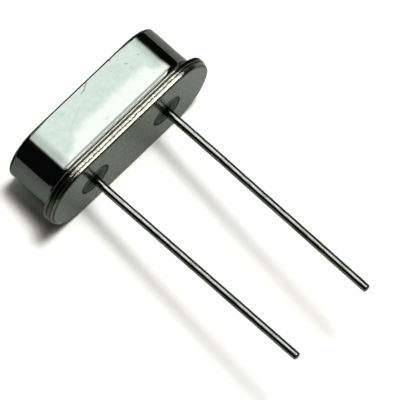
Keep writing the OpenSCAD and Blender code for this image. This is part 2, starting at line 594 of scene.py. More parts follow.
@dataclass(frozen=True)
class Pattern:
    """A random pattern at a real size.

    Attributes:
        per_mm: Waves in a millimetre.
        detail: How many finer layers it has.
        rough: How strong they are.
        stretch: How much closer the waves stand along each of the three coordinates.
        follow: What it follows.
    """

    per_mm: float
    detail: float = 2.0
    rough: float = 0.5
    stretch: Triple = (1.0, 1.0, 1.0)
    follow: Follow = Follow.CAN


@dataclass
class Finish:
    """A material being made: its tree, and the coordinates that its patterns read."""

    name: str

    def __post_init__(self) -> None:
        """Starts the node tree."""
        self.material = bpy.data.materials.new(self.name)
        self.material.use_nodes = True
        self.tree = self.material.node_tree
        self.tree.nodes.clear()

    def add(self, kind: str, inputs: Any = (), output: int | str = 0, **settings: Any) -> Socket:
        """Adds a node to this material and gives one of its outputs."""
        return add_node(self.tree, kind, inputs, **settings).outputs[output]

    def place_mm(self, stretch: Triple = (1.0, 1.0, 1.0), follow: Follow = Follow.CAN) -> Socket:
        """Coordinates in millimetres, then stretched.

        Args:
            stretch: The factor along each coordinate.
            follow: In the can's own frame, or round the track and across it.

        Returns:
            The coordinates.
        """
        if follow is Follow.TRACK:
            own = self.add("UVMap", uv_map="surface_mm")
        else:
            location, turn = LYING.back()
            laid = self.add("TexCoord", output="Object")
            scale = {"Location": location, "Rotation": turn, "Scale": (1 / MM,) * 3}
            own = self.add("Mapping", {"Vector": laid, **scale})
        return self.add("Mapping", {"Vector": own, "Scale": stretch})

    def pattern(self, p: Pattern) -> Socket:
        """Gives a pattern's value, from 0 to 1, on its coordinates."""
        sizes = {"Scale": p.per_mm, "Detail": p.detail, "Roughness": p.rough}
        return self.add("TexNoise", {"Vector": self.place_mm(p.stretch, p.follow), **sizes})

    def length(self, a: Socket, b: Socket) -> Socket:
        """The root of the sum of two squares."""
        terms = (a, a, self.add("Math", (b, b), operation="MULTIPLY"))
        return self.add("Math", (self.add("Math", terms, operation="MULTIPLY_ADD"),), operation="SQRT")

    def about_lead(self) -> tuple[Socket, Socket, Socket, Socket, Socket]:
        """Says where a point is in the can, and about the lead at its own end.

        Returns:
            The x, y and z in the can, then the x from that lead's axis and the distance
            from it, all in millimetres.
        """
        pitch = LYING.sizes.lead_pitch
        x, y, z = add_node(self.tree, "SeparateXYZ", (self.place_mm(),)).outputs
        on_right = self.add("Math", (x, 0.0), operation="GREATER_THAN")
        axis = self.add("Math", (on_right, pitch, -pitch / 2), operation="MULTIPLY_ADD")
        off = self.add("Math", (x, axis), operation="SUBTRACT")
        return x, y, z, off, self.length(off, y)

    def layers(self, under: Any, *over: tuple[Socket, Any]) -> Socket:
        """Lays colours over each other.

        Args:
            under: The lowest colour, as a hex code or a socket.
            over: For each one above it, how much it covers and the colour.

        Returns:
            The colour.
        """
        for cover, colour in over:
            a, b = (linear(v) if isinstance(v, str) else v for v in (under, colour))
            inputs = {0: cover, 6: a, 7: b}
            under = self.add("Mix", inputs, 2, data_type="RGBA", clamp_factor=True)
        return under

    def dullness_and_shade(self) -> Socket:
        """The piece's own dullness and painted shade, from 0 to 1."""
        return self.add("Attribute", output="Fac", attribute_name="dullness_and_shade")

    def surface(self, inputs: dict[str, Any], *relief: tuple[Socket, float]) -> bpy.types.Material:
        """Ends the material with one Principled shader over reliefs that lie on each other.

        Args:
            inputs: The shader's values or feeds.
            relief: Each relief's height and its depth in millimetres, the lowest first.

        Returns:
            The material.
        """
        under: dict[str, Socket] = {}
        for height, depth_mm in relief:
            sizes = {"Distance": depth_mm * MM, "Strength": 1.0}
            under = {"Normal": self.add("Bump", {"Height": height, **sizes, **under})}
        shader = self.add("BsdfPrincipled", {**inputs, **under}, distribution="GGX")
        add_node(self.tree, "OutputMaterial", (shader,))
        return self.material


@dataclass(frozen=True)
class DrawnNickel:
    """Bright nickel over deep-drawn steel: a soft mirror with faint draw marks along z.

    Smudges and a fine mottle make the wall a little duller in places, and the pressed flange
    looks warmer. Mirrored edges waver with a long swell and a fine orange peel.
    """

    colour: str = "#BFCFC5"
    smudge: str = "#B8C8BE"
    flange: str = "#CED6C8"
    # dull colours the handling marks, and the painted shade and painted dark reflections on the cover.
    dull: str = "#33352F"
    roughness: Span = (0.05, 0.11)
    rough_from: Span = (0.3, 0.75)
    smudges: Pattern = Pattern(0.55, 3.0, 0.55)  # handling smudges of 1.8 mm
    smudge_weight: float = 0.5
    mottle: Pattern = Pattern(3.6, 4.0, 0.7)  # 0.28 mm
    mottle_weight: float = 0.9
    clean_from: Span = (0.5, 0.9)
    flange_z: Span = (0.15, -0.1)  # over the header, and over the fillet's centre
    # Draw marks 0.11 mm apart, coarser than the real ones so that they show.
    draw_marks: Pattern = Pattern(1.0, 3.0, 0.6, (9.0, 0.35, 1.0), Follow.TRACK)
    draw_mm: float = 0.0001
    swell: Pattern = Pattern(0.7, 1.0)  # 1.4 mm
    swell_mm: float = 0.0007
    peel: Pattern = Pattern(2.4, 3.0, 0.6)  # 0.4 mm
    peel_mm: float = 0.00025

    def make(self) -> bpy.types.Material:
        """Makes the material.

        Returns:
            The material.
        """
        f, s = Finish("nickel_plated_drawn_steel"), LYING.sizes
        smudges = (f.pattern(self.smudges), self.smudge_weight)
        smudges = f.add("Math", smudges, operation="MULTIPLY")
        mottle = (f.pattern(self.mottle), self.mottle_weight, smudges)
        both = f.add("Math", mottle, operation="MULTIPLY_ADD")
        clean = f.add("MapRange", (both, *self.clean_from, *RISE), **SMOOTH)
        height = f.add("SeparateXYZ", (f.place_mm(),), 2)
        ends = (s.header_t + self.flange_z[0], s.root_arc_z + self.flange_z[1])
        low = f.add("MapRange", (height, *ends, 1.0, 0.0), **SMOOTH)
        draw = f.pattern(self.draw_marks)
        # The last coat lays the cover's dullness and its painted shade.
        coats = (clean, self.colour), (low, self.flange), (f.dullness_and_shade(), self.dull)
        return f.surface(
            {
                "Base Color": f.layers(self.smudge, *coats),
                "Metallic": 1.0,
                "Roughness": f.add("MapRange", (draw, *self.rough_from, *self.roughness), **SMOOTH),
            },
            (f.pattern(self.swell), self.swell_mm),
            (f.pattern(self.peel), self.peel_mm),
            (draw, self.draw_mm),
        )


@dataclass(frozen=True)
class StampedNickel:
    """Nickel over stamped steel: satin below, and a rim burnished bright by the tool.

    The underside is stained in a fine ring round each seal, and darker along its lip. A
    slanted, patchy smear of painted shade in front of each seal darkens the lead's reflection
    there. Short tool marks streak the rim's upper band, over rim_upper. The smear leans along
    X by its slope for each step along y.
    """

    colour: str = "#A8B4A3"
    edge: str = "#D3D8C4"
    streak: str = "#8B8E7F"
    # dull colours the stains, and the painted shade in front of the seals, in the groove and on the
    # rim.
    dull: str = "#33322C"
    roughness: Span = (0.25, 0.28)
    rim_roughness: Span = (0.12, 0.24)
    grain: Pattern = Pattern(6.0, 4.0, 0.6)  # 0.17 mm, coarser than the real grain to show
    grain_mm: float = 0.00004
    # Tool marks 0.14 mm apart and 0.6 mm long.
    tool_marks: Pattern = Pattern(1.0, 3.0, 0.65, (7.0, 1.6, 1.0), Follow.TRACK)
    patches: Pattern = Pattern(2.6, 3.0, 0.6)  # breaks the smear up every 0.4 mm
    patchy: Four = (0.35, 0.6, 0.6, 1.0)
    streaky: Four = (0.42, 0.68, 0.0, 0.62)
    # The smear is painted shade over each lead's reflection in the underside.
    shade_slope: float = 0.33
    shade_shift: float = 0.08
    shade_width: Span = (0.1, 0.37)
    shade_start: Span = (-0.9, -0.5)
    shade_depth: float = 0.66
    seam_depth: float = 0.6
    seam_out: Span = (0.03, 0.08)
    lip_depth: float = 0.4
    lip_in: Span = (0.2, 0.11)
    rim_low: Span = (0.015, 0.05)
    rim_upper: Four = (0.17, 0.23, 0.2, 1.0)

    def stain_and_shade(self, f: Finish) -> tuple[Socket, Socket]:
        """Adds the stains of the underside, and its painted shade.

        Args:
            f: The material being made.

        Returns:
            How dull it is from 0 to 1, and the height over the board face.
        """
        s = LYING.sizes
        x, y, height, off, radius = f.about_lead()
        # The slanted smear is painted shade, which darkens each lead's reflection in the underside.
        across = f.add("Math", (y, -self.shade_slope, off), operation="MULTIPLY_ADD")
        across = f.add("Math", (across, self.shade_shift), operation="SUBTRACT")
        across = f.add("Math", (across,), operation="ABSOLUTE")
        near = f.add("MapRange", (across, *self.shade_width, self.shade_depth, 0.0), **SMOOTH)
        patchy = f.add("MapRange", (f.pattern(self.patches), *self.patchy), **SMOOTH)
        front = f.add("MapRange", (y, *self.shade_start, 1.0, 0.0), **SMOOTH)
        front = f.add("Math", (front, patchy), operation="MULTIPLY")
        smear = f.add("Math", (near, front), operation="MULTIPLY")
        seam = (radius, *(s.seal_d / 2 + v for v in self.seam_out), self.seam_depth, 0.0)
        past = f.add("Math", (x,), operation="ABSOLUTE")
        past = f.add("Math", (past, s.middle_half), operation="SUBTRACT")
        reach = f.length(f.add("Math", (past, 0.0), operation="MAXIMUM"), y)
        lip = (reach, *(s.rim_r - v for v in self.lip_in), 0.0, self.lip_depth)
        for edge in (seam, lip):
            smear = f.add("Math", (smear, f.add("MapRange", edge, **SMOOTH)), operation="MAXIMUM")
        return smear, height

    def make(self) -> bpy.types.Material:
        """Makes the material.

        Returns:
            The material.
        """
        f = Finish("nickel_plated_stamped_steel")
        stain_and_shade, height = self.stain_and_shade(f)
        on_rim = f.add("MapRange", (height, *self.rim_low, *RISE), **SMOOTH)
        grain, streaks = f.pattern(self.grain), f.pattern(self.tool_marks)
        rough = f.add("MapRange", (grain, *MOST, *self.roughness), **SMOOTH)
        rim_rough = f.add("MapRange", (streaks, *MOST, *self.rim_roughness), **SMOOTH)
        both = f.add("Mix", {0: on_rim, 2: rough, 3: rim_rough}, data_type="FLOAT")
        upper = f.add("MapRange", (height, *self.rim_upper), **SMOOTH)
        streaky = f.add("MapRange", (streaks, *self.streaky), **SMOOTH)
        dulled = f.add("Math", (upper, streaky), operation="MULTIPLY")
        rim = f.layers(self.edge, (dulled, self.streak))
        # Stains and painted shade of the underside, then the rim, then the header's dullness and
        # painted shade.
        coats = (stain_and_shade, self.dull), (on_rim, rim), (f.dullness_and_shade(), self.dull)
        colour = f.layers(self.colour, *coats)
        inputs = {"Base Color": colour, "Metallic": 1.0, "Roughness": both}
        return f.surface(inputs, (grain, self.grain_mm))


@dataclass(frozen=True)
class SealingGlass:
    """Dark fused sealing glass: smooth and glossy, nearly black, with faint cloudiness.

    Painted light makes it paler to one side of each ring. It is dark at its edge, and painted
    shade darkens it round the wire's foot.
    """

    dark: str = "#0E100B"
    # pale is painted light, on one side of each ring.
    pale: str = "#747F70"
    ring: str = "#060605"
    roughness: Span = (0.08, 0.16)
    gloss: Span = (0.05, 0.01)
    gloss_from: Span = (0.2, 1.0)
    ior: float = 1.52
    clear_in: Span = (0.1, 0.2)
    lit_side: Four = (-0.6, 0.8, 0.55, 1.0)
    ring_in: Span = (0.11, 0.05)
    # The dark round the wire's foot is painted shade.
    foot_shade_r: float = 0.2
    foot_shade_depth: float = 0.9
    cloud_weight: float = 0.5
    cloud: Pattern = Pattern(2.2, 3.0, 0.6)  # 0.45 mm
    ripple: Pattern = Pattern(5.0)  # 0.2 mm
    ripple_mm: float = 0.001

    def make(self) -> bpy.types.Material:
        """Makes the material.

        Returns:
            The material.
        """
        f = Finish("fused_sealing_glass")
        wire_r, ring_r = LYING.sizes.lead_d / 2, LYING.sizes.seal_d / 2
        cloud = f.pattern(self.cloud)
        _, y, _, off, radius = f.about_lead()
        sideways = f.add("Math", (off, y), operation="ADD")
        cloudy = (cloud, self.cloud_weight, sideways)
        sideways = f.add("Math", cloudy, operation="MULTIPLY_ADD")
        ends = (wire_r + self.clear_in[0], ring_r - self.clear_in[1])
        inside = f.add("MapRange", (radius, *ends, *RISE), **SMOOTH)
        # Paler to one side of each ring: painted light.
        lit_beside = f.add("MapRange", (sideways, *self.lit_side), **SMOOTH)
        clear = f.add("Math", (inside, lit_beside), operation="MULTIPLY")
        ring = (radius, *(ring_r - v for v in self.ring_in), *RISE)
        # Painted shade round the wire's foot.
        foot = (radius, wire_r, wire_r + self.foot_shade_r, self.foot_shade_depth, 0.0)
        dark = [f.add("MapRange", part, **SMOOTH) for part in (ring, foot)]
        # edge holds the dark joint at the ring and the painted shade at the wire's foot.
        edge = f.add("Math", dark, operation="MAXIMUM")
        gloss = (edge, *self.gloss_from, *self.gloss)
        return f.surface(
            {
                "Base Color": f.layers(self.dark, (clear, self.pale), (edge, self.ring)),
                "Roughness": f.add("MapRange", (cloud, *MOST, *self.roughness), **SMOOTH),
                "IOR": self.ior,
                "Specular IOR Level": f.add("MapRange", gloss, **SMOOTH),
            },
            (f.pattern(self.ripple), self.ripple_mm),
        )


@dataclass(frozen=True)
class TinnedWire:
    """Hot-tinned wire: bright, drawn out along its length, with slight runs in the tin.

    The tin thins out to grey near the seal, and dark glass has crept up the wire's foot.
    """

    colour: str = "#E3EAE0"
    dull: str = "#A9B0A5"
    thin: str = "#5E5F59"
    glass: str = "#0E0F0C"
    edge_on: str = "#8A8C89"
    roughness: Span = (0.05, 0.13)
    rough_from: Span = (0.3, 0.75)
    dull_from: Span = (0.44, 0.62)
    thin_z: Span = (-0.5, -0.12)
    glass_z: Span = (-0.12, -0.08)
    # Runs 0.17 mm wide and 0.8 mm long, and lumps 0.4 mm wide and 0.8 mm long.
    runs: Pattern = Pattern(1.0, 3.0, 0.6, (6.0, 1.2, 1.0), Follow.TRACK)
    runs_mm: float = 0.0004
    lumps: Pattern = Pattern(2.5, 2.0, 0.5, (1.0, 1.0, 0.5))
    lumps_mm: float = 0.0026

    def make(self) -> bpy.types.Material:
        """Makes the material.

        Returns:
            The material.
        """
        f = Finish("tinned_steel_wire")
        runs = f.pattern(self.runs)
        height = f.add("SeparateXYZ", (f.place_mm(),), 2)
        covers = (runs, *self.dull_from), (height, *self.thin_z), (height, *self.glass_z)
        covers = [f.add("MapRange", (*cover, *RISE), **SMOOTH) for cover in covers]
        coats = zip(covers, (self.dull, self.thin, self.glass))
        return f.surface(
            {
                "Base Color": f.layers(self.colour, *coats),
                "Metallic": 1.0,
                "Roughness": f.add("MapRange", (runs, *self.rough_from, *self.roughness), **SMOOTH),
                "Specular Tint": linear(self.edge_on),
            },
            (runs, self.runs_mm),
            (f.pattern(self.lumps), self.lumps_mm),
        )


@dataclass(frozen=True)
class InsideFinish:
    """A finish for a piece inside the can: two colours and a grain at a real size."""

    name: str
    colour: str
    second: str
    metallic: float
    roughness: Span
    grain: Pattern
    depth_mm: float
    optics: tuple[tuple[str, float], ...] = ()

    def make(self) -> bpy.types.Material:
        """Makes the material.

        Returns:
            The material.
        """
        f = Finish(self.name)
        grain = f.pattern(self.grain)
        part = f.add("MapRange", (grain, *MOST, *RISE), **SMOOTH)
        inputs = {
            "Base Color": f.layers(self.colour, (part, self.second)),
            "Metallic": self.metallic,
            "Roughness": f.add("MapRange", (grain, *MOST, *self.roughness), **SMOOTH),
        }
        return f.surface(inputs | dict(self.optics), (grain, self.depth_mm))


# ---------------------------------------------------------------- the pieces


@dataclass(frozen=True)
class Mark:
    """A handling mark on the broad side: a straight scratch, or a speck where it is short.

    Attributes:
        start: Where it starts, as x and z in millimetres.
        end: Where it ends.
        width: Its half width in millimetres.
        dull: How dull its middle is, from 0 to 1.
    """

    start: Span
    end: Span
    width: float
    dull: float

    def depth(self, x: np.ndarray, z: np.ndarray) -> np.ndarray:
        """Its dullness: a bell curve of the distance from the line between its ends.

        Args:
            x: Place along the can in millimetres.
            z: Height in millimetres.

        Returns:
            The dullness from 0 to 1.
        """
        (x0, z0), (x1, z1) = self.start, self.end
        run_x, run_z = x1 - x0, z1 - z0
        t = ((x - x0) * run_x + (z - z0) * run_z) / max(run_x**2 + run_z**2, TINY)
        t = np.clip(t, 0, 1)
        return self.dull * bell(np.hypot(x - x0 - t * run_x, z - z0 - t * run_z), 0.0, self.width)


@dataclass
class CanCover:
    """The drawn cover: flange, root fillet, wall and rounded top, hollow inside.

    The wall's lower half leans out by flare_deg, and by toe_deg more over its last toe_h. A
    flare_drop is how much lower that starts at one end, and the x where it begins and is
    full. A turn range says how far round the ends something starts and is full, and then
    fades and ends. A line's wander is how far it strays up and down. The painted line of
    shade in the fillet is foot_part of its radius below its centre.
    """

    sizes: CanSizes = LYING.sizes
    finish: DrawnNickel = DrawnNickel()
    round_parts: int = 96
    straight_parts: int = 200
    flare_deg: float = 1.5
    flare_z: Span = (1.5, 2.15)
    flare_drops: tuple[Triple, ...] = ((0.7, -1.6, -3.2), (0.5, 2.7, 3.075))
    toe_deg: float = 5.2
    toe_h: float = 0.17
    fade_z: float = 0.4
    wave_mm: float = 0.0004
    # Painted shade in the groove under the flange's edge, and a painted dark reflection where it turns
    # in.
    edge_in: Span = (0.12, 0.06)
    edge_shade: float = 0.75
    seam_z: Triple = (0.055, 0.1, 0.125)
    wander: float = 0.012
    # A painted dark reflection: a dark line in the root fillet.
    fillet_line_shade: float = 0.85
    foot_part: float = 0.38
    foot_width: float = 0.034
    # A painted dark reflection in the bend round the top, reaching lower towards the ends.
    bend_shade: float = 0.85
    bend_z: Span = (0.14, 0.085)  # its depth, and how much deeper it is at the ends
    bend_x: Span = (2.0, 3.4)
    bend_soft: float = 0.04
    bend_end: Span = (0.02, 0.004)
    # A painted dark reflection on flange and fillet as they turn round the ends.
    end_band_shade: float = 0.75
    end_band_turn: Four = (0.44, 0.58, 0.81, 0.88)
    end_band_h: float = 0.04
    # A painted dark reflection on the wall far round the ends.
    end_wall_shade: float = 0.22
    end_wall_turn: Span = (0.79, 0.86)
    marked_side: float = 0.5  # the least cosine of the outward angle where the marks are
    marks: tuple[Mark, ...] = (
        Mark((0.25, 3.19), (-0.12, 3.0), 0.035, 0.6),
        Mark((-0.12, 3.0), (-0.36, 3.0), 0.03, 0.35),
        Mark((1.78, 3.3), (1.86, 3.2), 0.05, 0.6),
        Mark((2.25, 2.55), (2.31, 2.49), 0.035, 0.45),
        Mark((2.3, 2.28), (2.33, 2.1), 0.03, 0.14),
        Mark((3.0, 2.45), (3.03, 2.43), 0.04, 0.4),
        Mark((-1.75, 2.88), (-1.68, 2.86), 0.05, 0.16),
        Mark((-0.84, 2.56), (-1.25, 2.4), 0.03, 0.09),
        Mark((-1.25, 2.4), (-2.0, 2.1), 0.035, 0.05),
        Mark((0.45, 2.0), (0.8, 2.26), 0.03, 0.05),
        Mark((0.55, 1.96), (0.88, 2.2), 0.03, 0.05),
        Mark((-0.42, 1.21), (-0.3, 1.24), 0.05, 0.2),
        Mark((2.84, 1.3), (2.86, 1.28), 0.035, 0.2),
    )

    def section(self) -> Section:
        """Draws the cover's section, from the top down outside and up again inside.

        Returns:
            The section.
        """
        s = self.sizes
        root = (s.wall_r + s.root_r, s.root_arc_z)
        top = (s.wall_r - s.top_edge_r, s.can_h - s.top_edge_r)
        edge = (s.rim_r - s.rim_edge_r, s.header_t + s.rim_edge_r)
        sec = Section([(top[0], s.can_h)])
        sec.arc(top, s.top_edge_r, 90, 0, 14)
        sec.line(s.wall_r, s.root_arc_z, 76)
        sec.arc(root, s.root_r, 180, 270, 16)
        sec.line(edge[0], s.header_t + s.sheet_t, 2)
        sec.arc(edge, s.rim_edge_r, 90, -90, 16)
        sec.line(root[0], s.header_t, 2)
        sec.arc(root, s.root_r + s.sheet_t, 270, 180, 8)
        sec.line(s.cavity_r, top[1], 4)
        return sec.arc(top, s.top_bend_r, 0, 90, 6)

    def relief(self, at: Wrap) -> np.ndarray:
        """Works out how the wall stands out: it flares towards the root, and is never quite flat.

        The lean grows down the wall by a soft step, and the lift is the sum of its tangent
        over the height. The step sits lower near the ends. A second lean is the toe over the
        fillet, and soft noise is added. All fade out in the fillet.

        Args:
            at: The cover's section on its track.

        Returns:
            The lift in millimetres.
        """
        s = self.sizes
        z = np.linspace(s.can_h + 1.0, 0.0, 600)
        lean = self.flare_deg * (1 - ramp(z, *self.flare_z))
        toe = self.toe_deg * (1 - ramp(z, s.root_arc_z, s.root_arc_z + self.toe_h))
        flare, toe = (np.cumsum(np.tan(np.radians(v))) * (z[0] - z[1]) for v in (lean, toe))
        lower = sum(drop * ramp(at.middle, *ends) for drop, *ends in self.flare_drops)
        lift = np.interp(-(at.height + lower), -z, flare) + np.interp(-at.height, -z, toe)
        outside = at.across < at.across[at.section.creases[3]] + TINY
        fade = np.where(outside, ramp(at.height, s.root_arc_z - s.root_r, s.root_arc_z), 0)
        soft = at.noise((2.2, 1.4), 11) * self.wave_mm
        soft = soft * (1 - ramp(at.height, s.can_h - self.fade_z, s.can_h))
        return (soft + lift) * fade

    def dullness_and_shade(self, at: Wrap) -> np.ndarray:
        """Works out where the plating is dull, and where shade is painted.

        Painted shade darkens the flange's edge under its middle, and painted dark reflections
        darken it where it turns in, a line in the root fillet, the bend round the top, which
        reaches lower towards the ends, flange and fillet as they turn round the ends, and the wall
        far round the ends. The marks are dull.

        Args:
            at: The cover's section on its track.

        Returns:
            The dullness from 0 to 1, rows by columns.
        """
        s = self.sizes
        shift = at.noise((0.55, 1.0), 12, even=True) * self.wander
        level = at.height + shift
        low, full, over = (s.header_t + z for z in self.seam_z)
        # Painted shade under the flange's edge, and a painted dark reflection where it turns in.
        edge = ramp(at.radius, *(s.rim_r - v for v in self.edge_in))
        dull = edge * (self.edge_shade * (1 - ramp(level, low, full)) + ramp(level, full, over))
        # A painted dark reflection: a line in the root fillet.
        foot = bell(at.height - shift, s.root_arc_z - s.root_r * self.foot_part, self.foot_width)
        outside = at.radius < s.wall_r + 0.1
        dull = dull + self.fillet_line_shade * foot * outside
        # A painted dark reflection on flange and fillet round the ends.
        under_wall = 1 - ramp(at.height, s.root_arc_z, s.root_arc_z + self.end_band_h)
        dull = dull + self.end_band_shade * plateau(at.turn, *self.end_band_turn) * under_wall
        x = at.middle + s.wall_r * np.sin(at.angle)
        # A painted dark reflection in the top bend, starting lower towards the ends.
        start = s.can_h - self.bend_z[0] - self.bend_z[1] * ramp(np.abs(x), *self.bend_x)
        ends = (s.can_h - v for v in self.bend_end)
        bend = plateau(at.height, start, start + self.bend_soft, *ends)
        near_side = np.cos(at.angle) > self.marked_side
        # Real handling marks, and a painted dark reflection on the wall far round the ends.
        marks_and_end_shade = sum(mark.depth(x, at.height) for mark in self.marks) * near_side
        marks_and_end_shade = marks_and_end_shade + self.end_wall_shade * ramp(at.turn, *self.end_wall_turn)
        marks_and_end_shade = marks_and_end_shade * (outside & (at.height > s.root_arc_z))
        return np.clip(dull + self.bend_shade * bend + marks_and_end_shade, 0, 1)

    def build(self) -> bpy.types.Object:
        """Makes the cover's mesh and dresses it.

        Returns:
            The object.
        """
        s = self.sizes
        track = Track(s.middle_half, 0.0, self.straight_parts, self.round_parts, s.wall_r)
        at = Wrap(self.section(), track)
        shell = Shell("drawn_cover")
        number = shell.add(at.sweep(self.relief(at)), dullness_and_shade=self.dullness_and_shade(at))
        shell.add_cap([number[0]], up=True)
        shell.add_cap([number[-1]], up=False)
        made = shell.make(self.finish.make())
        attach(made, "root")
        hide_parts("can_cover")
        return made


@dataclass
class HeaderBase:
    """The stamped header: a rim with two burnished bands, and the platform inside.

    The bands meet in a shear line, which climbs by shear_climb for each millimetre along X,
    and their lumps start, are full, fade and end at the heights of band_z. The rim draws in
    by end_inset at the round ends.
    """

    sizes: CanSizes = LYING.sizes
    finish: StampedNickel = StampedNickel()
    round_parts: int = 220
    straight_parts: int = 240
    hole_parts: int = 32
    shear_z: float = 0.224
    shear_climb: float = 0.007
    shear_depth: float = 0.028
    shear_width: float = 0.025
    shear_uneven: float = 0.35
    wander: tuple[Triple, ...] = ((0.9, 3, 0.009), (0.3, 4, 0.007))  # wave, seed and height
    die_mm: float = 0.0016
    lump_mm: float = 0.0018
    band_in: float = 0.006
    end_inset: float = 0.08
    end_inset_z: float = 0.34
    end_turn: Span = (0.55, 1.0)
    band_z: Four = (0.03, 0.1, 0.34, 0.4)
    outer_in: Span = (0.14, 0.09)
    # Painted shade in the groove under the cover.
    groove_shade: float = 0.75
    groove_h: float = 0.015
    # The rim's upper part is a little darker at the round ends, and a painted dark outline runs along
    # the lower rounding, at the ends and at the back.
    dark_turn: Span = (0.6, 0.9)
    dark_back: Span = (0.0, 0.3)
    end_dull: float = 0.15
    end_z: Span = (0.16, 0.3)
    outline_shade: float = 0.6
    corner_z: Four = (0.0, 0.01, 0.05, 0.11)
    # The torn shear line is dull, and painted shade darkens it by its depth.
    shear_dull_and_shade: float = 0.8
    shear_torn: Span = (0.012, 0.03)
    # A painted dark reflection on the upper band as it turns round the ends.
    end_band_shade: float = 0.7
    end_band_z: Span = (0.12, 0.22)
    end_band_turn: Four = (0.47, 0.62, 0.84, 0.92)
    end_band_loss: float = 0.4

    def section(self) -> Section:
        """Draws the header's section, from the platform's top down outside to the board face.

        Returns:
            The section.
        """
        s = self.sizes
        wall_r = s.cavity_r - s.platform_gap
        corner = (wall_r - s.platform_edge_r, s.platform_top - s.platform_edge_r)
        upper = (s.rim_r - s.header_upper_r, s.header_t - s.header_upper_r)
        sec = Section([(corner[0], s.platform_top)])
        sec.arc(corner, s.platform_edge_r, 90, 0, 6)
        sec.line(wall_r, s.header_t)
        sec.line(upper[0], s.header_t)
        sec.arc(upper, s.header_upper_r, 90, 0, 6)
        sec.line(s.rim_r, s.header_lower_r, 22)
        lower = (s.rim_r - s.header_lower_r, s.header_lower_r)
        return sec.arc(lower, s.header_lower_r, 0, -90, 14)

    def on_rim(self, at: Wrap) -> np.ndarray:
        """True at the rows of the rim, and not at the platform's."""
        return at.radius > self.sizes.rim_r - self.sizes.header_lower_r * 1.01

    def relief(self, at: Wrap) -> np.ndarray:
        """Works out the relief of the sheared rim, always inwards.

        Two rounded bands meet in a wandering shear line, and short die marks run across
        them. Each part is a bell curve of the height, or noise stretched along it.

        Args:
            at: The header's section on its track.

        Returns:
            The lift in millimetres.
        """
        level = np.where(self.on_rim(at), at.height, OFF_RIM)
        wander = sum(at.noise((wave, 1.0), seed, True) * high for wave, seed, high in self.wander)
        wander = wander + self.shear_climb * (at.middle + self.sizes.rim_r * np.sin(at.angle))
        shear = bell(level, self.shear_z + wander, self.shear_width)
        shear = shear * (1 + self.shear_uneven * at.noise((0.22, 1.0), 6, even=True))
        rough = at.noise((0.11, 0.5), 5) * self.die_mm + at.noise((0.3, 0.25), 8) * self.lump_mm
        rough = (rough - self.band_in) * plateau(level, *self.band_z)
        return np.minimum(-self.shear_depth * shear + rough, 0.0)

    def inset(self, at: Wrap) -> np.ndarray:
        """Works out how the rim draws in below its cover at the two round ends.

        It grows by a soft step down the rim's height, and by another round each end.

        Args:
            at: The header's section on its track.

        Returns:
            The inset in millimetres.
        """
        low = (1 - ramp(at.height, 0.0, self.end_inset_z)) * self.on_rim(at)
        return self.end_inset * low * ramp(at.turn, *self.end_turn)

    def dullness_and_shade(self, at: Wrap, lift: np.ndarray) -> np.ndarray:
        """Works out where the plating is dull, and where shade is painted.

        The torn shear line is dull, with painted shade by its depth. Painted shade darkens the
        groove under the cover, and a painted dark outline the lower edge at the round ends and
        away from the front, where the rim's upper part is also a little darker. A painted dark
        reflection darkens the upper band as it turns round the ends.

        Args:
            at: The header's section on its track.
            lift: Its relief.

        Returns:
            The dullness from 0 to 1.
        """
        s = self.sizes
        start, full, fade, end = self.end_band_turn
        tint = ramp(at.turn, start, full) * (1 - self.end_band_loss * ramp(at.turn, fade, end))
        back = ramp(-np.cos(at.angle), *self.dark_back)
        outer = ramp(at.radius, *(s.rim_r - v for v in self.outer_in))
        # Painted shade in the groove under the cover.
        groove = ramp(at.height, s.header_t - self.groove_h, s.header_t)
        # Darker upper rim at the round ends, and a painted dark outline on the lower rounding.
        ends_and_outline_dark = self.end_dull * ramp(at.height, *self.end_z)
        ends_and_outline_dark = ends_and_outline_dark + self.outline_shade * plateau(at.height, *self.corner_z)
        ends_and_outline_dark = ends_and_outline_dark * np.maximum(ramp(at.turn, *self.dark_turn), back)
        dull = self.groove_shade * groove + ends_and_outline_dark
        # A painted dark reflection on the upper band round the ends.
        dull = dull + self.end_band_shade * tint * ramp(at.height, *self.end_band_z)
        # The shear line: dull torn metal, with painted shade by its depth.
        return np.clip(dull * outer + self.shear_dull_and_shade * ramp(-lift, *self.shear_torn), 0, 1)

    def build(self) -> bpy.types.Object:
        """Makes the header's mesh, with its two holes, and dresses it.

        Returns:
            The object.
        """
        s = self.sizes
        track = Track(s.middle_half, 0.0, self.straight_parts, self.round_parts, s.rim_r)
        at = Wrap(self.section(), track)
        lift = self.relief(at)
        shell = Shell("stamped_header")
        number = shell.add(at.sweep(lift, self.inset(at)), dullness_and_shade=self.dullness_and_shade(at, lift))
        holes = []
        for side in Side:
            wall = Section([(s.seal_d / 2, 0.0)]).line(s.seal_d / 2, s.platform_top, 3)
            circle = lead_circle(s, side, s.seal_d / 2, self.hole_parts)
            holes.append(shell.add(Wrap(wall, circle).sweep()))
        shell.add_cap([number[0], *(h[-1] for h in holes)], up=True)
        shell.add_cap([number[-1], *(h[0] for h in holes)], up=False)
        made = shell.make(self.finish.make())
        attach(made, "root")
        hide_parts("header_base")
        return made


